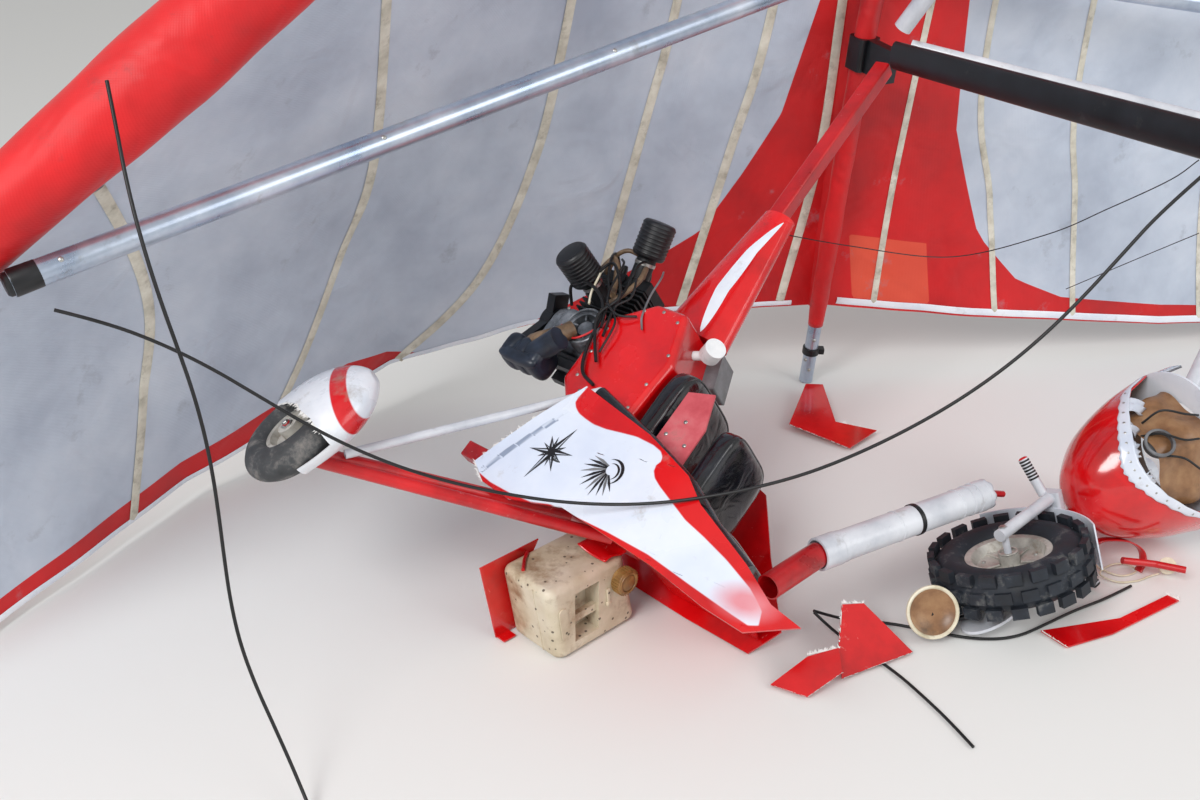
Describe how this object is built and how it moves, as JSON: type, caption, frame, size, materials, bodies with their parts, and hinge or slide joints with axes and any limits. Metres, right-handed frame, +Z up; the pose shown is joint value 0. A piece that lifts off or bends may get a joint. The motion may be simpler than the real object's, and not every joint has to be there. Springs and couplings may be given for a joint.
{
  "type": "crashed microlight aircraft",
  "caption": "Wrecked two-seat weight-shift microlight lying under its fabric wing, with broken pod, open engine, torn-off nose wheel and slack wires.",
  "frame": {"origin": "middle of the footprint on the ground the wreck lies on", "axes": "+X along the span towards the wing's right tip in the picture, +Y away from the camera, +Z up"},
  "size_m": [7.8454, 3.4917, 2.9706],
  "materials": {
    "red_fabric": "woven sailcloth",
    "grey_fabric": "woven sailcloth, dirty",
    "bare_tube": "anodised",
    "black_tube": "satin",
    "red_metal": "gloss, scuffed",
    "white_metal": "gloss, scuffed",
    "white_composite": "gel coat, dirty",
    "red_composite": "gel coat, scuffed",
    "black_vinyl": "glossy",
    "faded_vinyl": "faded",
    "tyre_rubber": "worn",
    "rim_alloy": "dull",
    "engine_alloy": "cast, oily",
    "engine_black": "satin",
    "dark_plastic": "matt",
    "black_plastic": "matt",
    "tank_plastic": "dirty",
    "cap_plastic": "matt",
    "lamp_plastic": "gloss",
    "clear_sheet": "clear",
    "wire_cover": "matt"
  },
  "bodies": {
    "airframe": {"wing_keel": "bare_tube", "leading_edge_left": "red_fabric", "leading_edge_right": "red_fabric", "crossbar": "bare_tube", "sail_left": "grey_fabric", "sail_right": "grey_fabric", "hang_bracket": "black_tube", "upright_near": "black_tube", "control_frame": "white_metal", "front_strut": "white_metal", "trike_beam": "red_metal", "mast": "red_metal", "mast_fairing": "red_composite", "rear_shroud": "red_composite", "pod_right": "white_composite", "pod_left": "red_composite", "pod_floor": "red_composite", "coaming": "black_vinyl", "seat_base": "black_vinyl", "seat_backs": "black_vinyl", "seat_side_panel": "faded_vinyl", "gear_block": "red_metal", "gear_leg_right": "red_metal", "gear_leg_left": "red_metal", "gear_struts": "white_metal", "spat_right": "white_composite", "engine_mount": "black_tube", "engine_crankcase": "engine_alloy", "engine_cylinders": "engine_black", "reduction_gearbox": "engine_alloy", "starter_housing": "engine_alloy", "intake_silencer": "dark_plastic", "air_filters": "black_plastic", "lamp": "lamp_plastic", "electrics_box": "dark_plastic", "fuel_tank": "tank_plastic", "tank_cap": "cap_plastic", "tank_cradle": "red_composite", "front_socket": "red_metal", "front_tube": "white_metal", "torn_fairing": "red_composite", "steering_head": "red_metal", "nose_fairing": "red_composite", "dash_panel": "white_composite", "windscreen": "clear_sheet", "steering_links": "red_metal", "side_wire": "wire_cover", "landing_wire": "wire_cover", "cable_loom": "wire_cover", "loose_cable": "wire_cover"},
    "right_wheel": {"tyre_right": "tyre_rubber", "rim_right": "rim_alloy"},
    "left_wheel": {"tyre_left": "tyre_rubber", "rim_left": "rim_alloy"},
    "nose_wheel": {"tyre_nose": "tyre_rubber", "rim_nose": "rim_alloy"},
    "steering": {"fork": "white_metal", "nose_mudguard": "white_composite"},
    "propeller": {"propeller_hub": "black_tube"}
  },
  "joints": [
    {"name": "right_wheel_spin", "type": "hinge", "parent": "airframe", "child": "right_wheel", "pos_m": [-1.90382, -0.69964, 0.60529], "axis": [-0.51, -0.1263, 0.8509], "continuous": true},
    {"name": "left_wheel_spin", "type": "hinge", "parent": "airframe", "child": "left_wheel", "pos_m": [-1.06708, 0.17411, 0.0545], "axis": [0.1003, 0.0602, 0.9931], "continuous": true},
    {"name": "steering_turn", "type": "hinge", "parent": "airframe", "child": "steering", "pos_m": [-0.05708, -0.56589, 0.1325], "axis": [0.7405, 0.6702, 0.0496], "range_deg": [-25, 25]},
    {"name": "nose_wheel_spin", "type": "hinge", "parent": "steering", "child": "nose_wheel", "pos_m": [-0.05708, -0.56589, 0.1325], "axis": [-0.2689, 0.2279, 0.9358], "continuous": true},
    {"name": "propeller_spin", "type": "hinge", "parent": "airframe", "child": "propeller", "pos_m": [-1.30713, 0.12772, 0.54144], "axis": [0.7217, -0.6922, -0.0002], "continuous": true}
  ]
}
